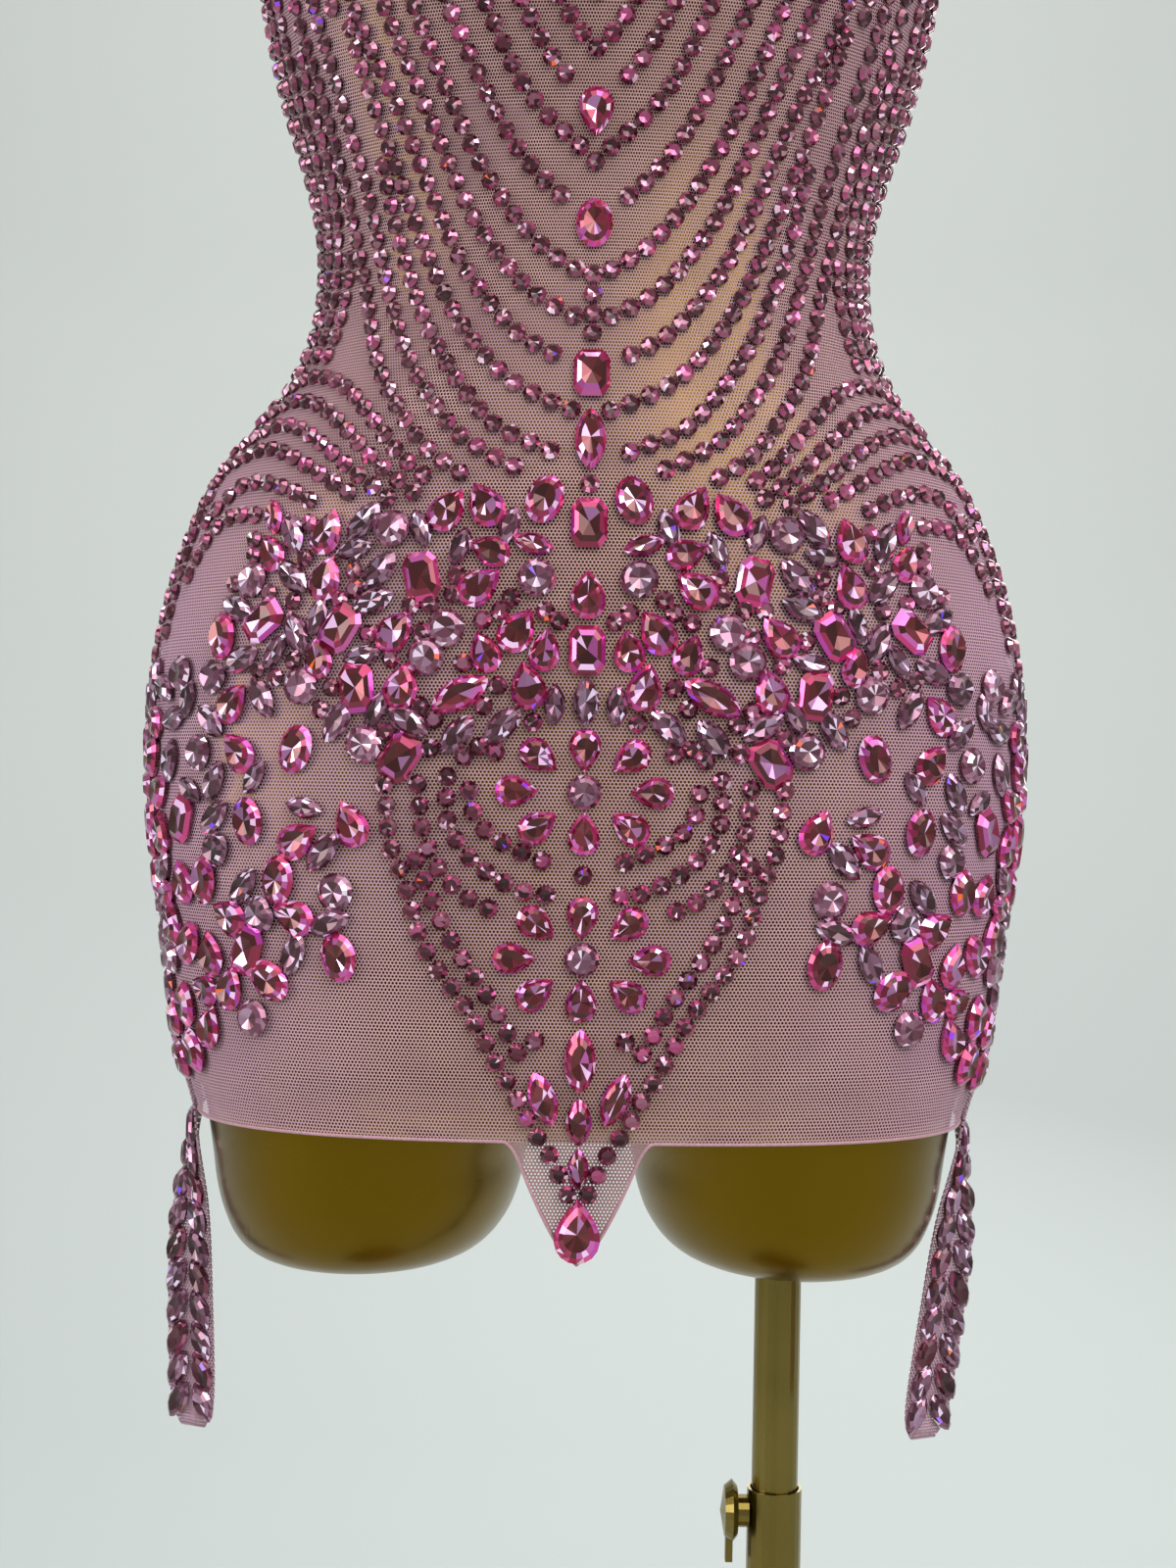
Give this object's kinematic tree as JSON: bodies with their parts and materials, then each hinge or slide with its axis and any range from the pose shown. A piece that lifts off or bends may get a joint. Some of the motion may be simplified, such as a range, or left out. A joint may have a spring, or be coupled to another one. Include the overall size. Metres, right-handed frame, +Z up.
{
  "type": "bodycon mini dress on a dress form and stand",
  "caption": "Short close-fitting net dress set with raised stones, worn by a smooth limbless dress form on a telescopic brass stand with a round base.",
  "frame": {"origin": "middle of the base plate's underside, on the floor", "axes": "+Z up, -Y towards the front of the dress, +X towards the right of the front view"},
  "size_m": [0.36, 0.36, 1.562],
  "materials": {
    "stone_net": "dusty pink power net with sewn faceted stones",
    "gold_form": "olive gold gloss",
    "stand_brass": "satin brass tube"
  },
  "bodies": {
    "stand": {"base_plate": "stand_brass", "foot_flange": "stand_brass", "stand_tube": "stand_brass"},
    "pole": {"mast": "stand_brass"},
    "figure": {"dress_form": "gold_form", "front_panel": "stone_net", "back_panel": "stone_net", "tail_left": "stone_net", "tail_right": "stone_net", "strap_left": "stone_net", "strap_right": "stone_net"},
    "clamp": {"clamp_screw": "stand_brass"}
  },
  "joints": [
    {"name": "mast_slide", "type": "slide", "parent": "stand", "child": "pole", "axis": [0, 0, 1], "range_m": [-0.08, 0.2]},
    {"name": "figure_swivel", "type": "hinge", "parent": "pole", "child": "figure", "pos_m": [0.083, 0, 0.79], "axis": [0, 0, 1], "continuous": true},
    {"name": "clamp_turn", "type": "hinge", "parent": "stand", "child": "clamp", "pos_m": [0.083, 0, 0.607], "axis": [-1, 0, 0], "range_deg": [-180, 180]}
  ]
}
